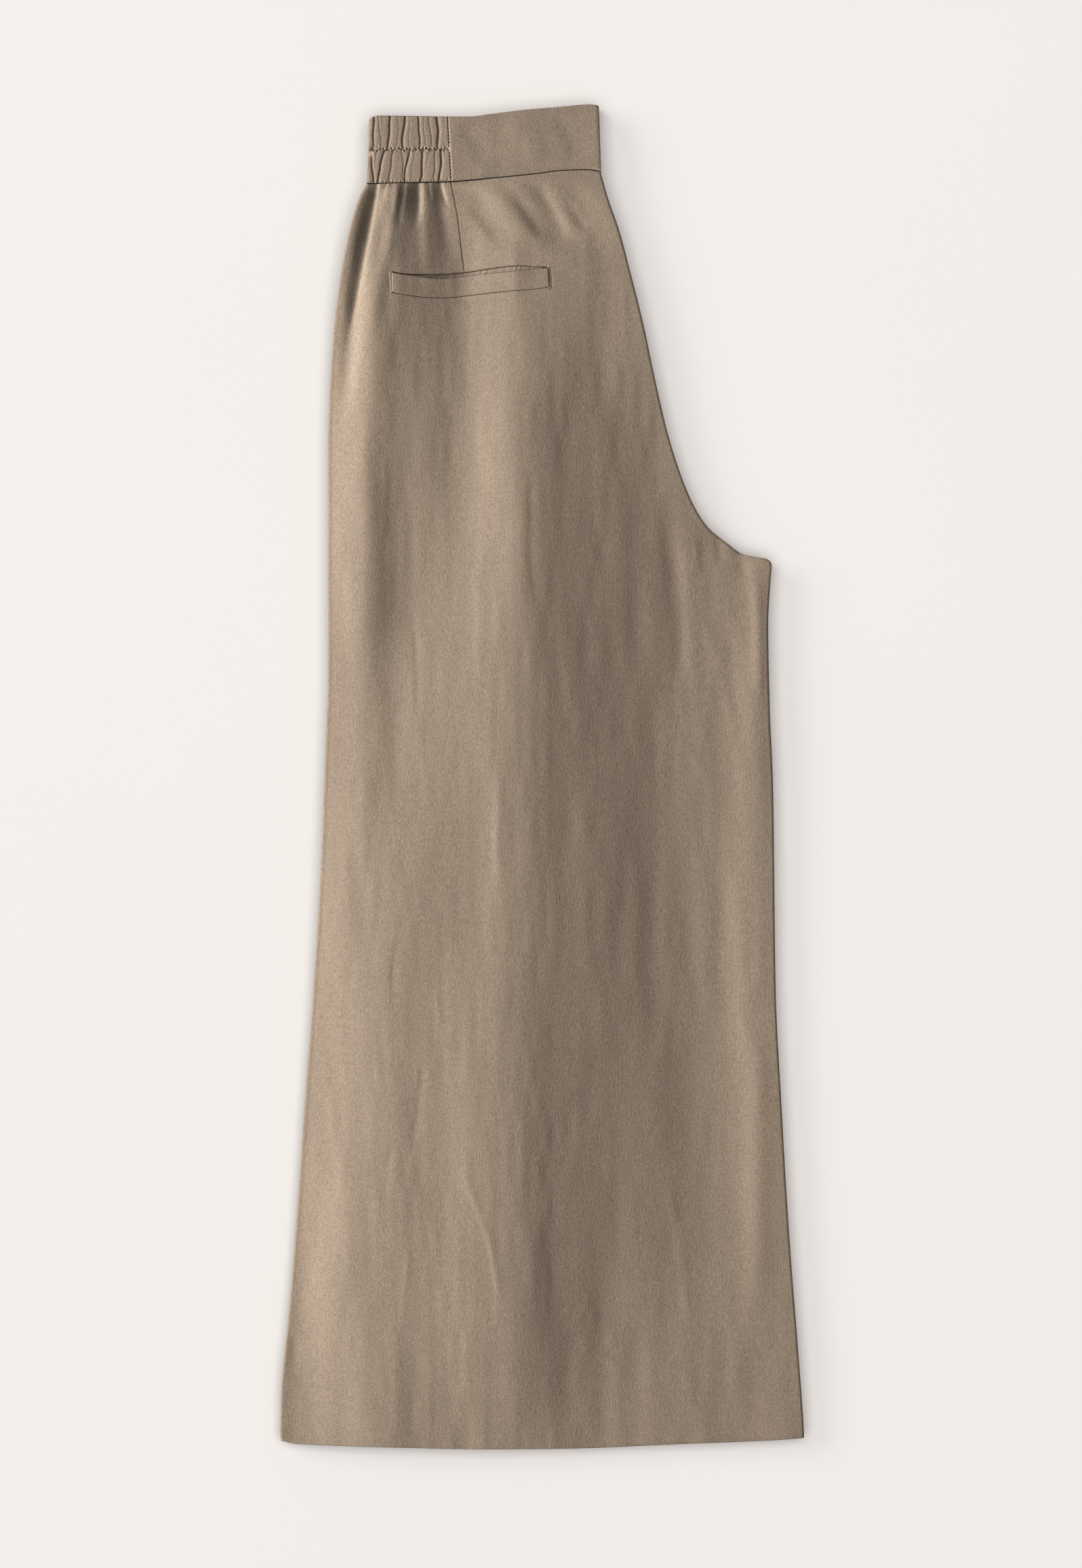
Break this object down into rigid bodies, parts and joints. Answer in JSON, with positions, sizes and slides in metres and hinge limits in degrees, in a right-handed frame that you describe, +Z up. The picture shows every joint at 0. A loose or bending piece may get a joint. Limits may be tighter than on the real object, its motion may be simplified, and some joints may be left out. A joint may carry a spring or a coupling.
{
  "type": "folded wide-leg trousers",
  "caption": "Wide-leg linen culottes folded in half and laid flat, with a part-elastic waistband, darted back, welt pocket and deep hems.",
  "frame": {"origin": "on the surface it lies on, under the centre of the folded garment's bounding box", "axes": "+Y along the garment towards the waistband, +X towards the centre back and inseams, +Z up from the surface"},
  "size_m": [0.3984, 1.0221, 0.0206],
  "materials": {
    "linen": "matt taupe linen, plain weave with slubs",
    "linen_facing": "the same linen, shaded inside the pocket's mouth",
    "thread": "matt polyester sewing thread to match the linen"
  },
  "bodies": {
    "root": {"back_upper": "linen", "back_lower": "linen", "fronts_folded": "linen", "waistband_centre_back": "linen", "waistband_elastic_upper": "linen", "waistband_elastic_lower": "linen", "waistband_fronts_folded": "linen", "pocket_welt_upper": "linen", "pocket_facing_upper": "linen_facing"}
  },
  "joints": []
}
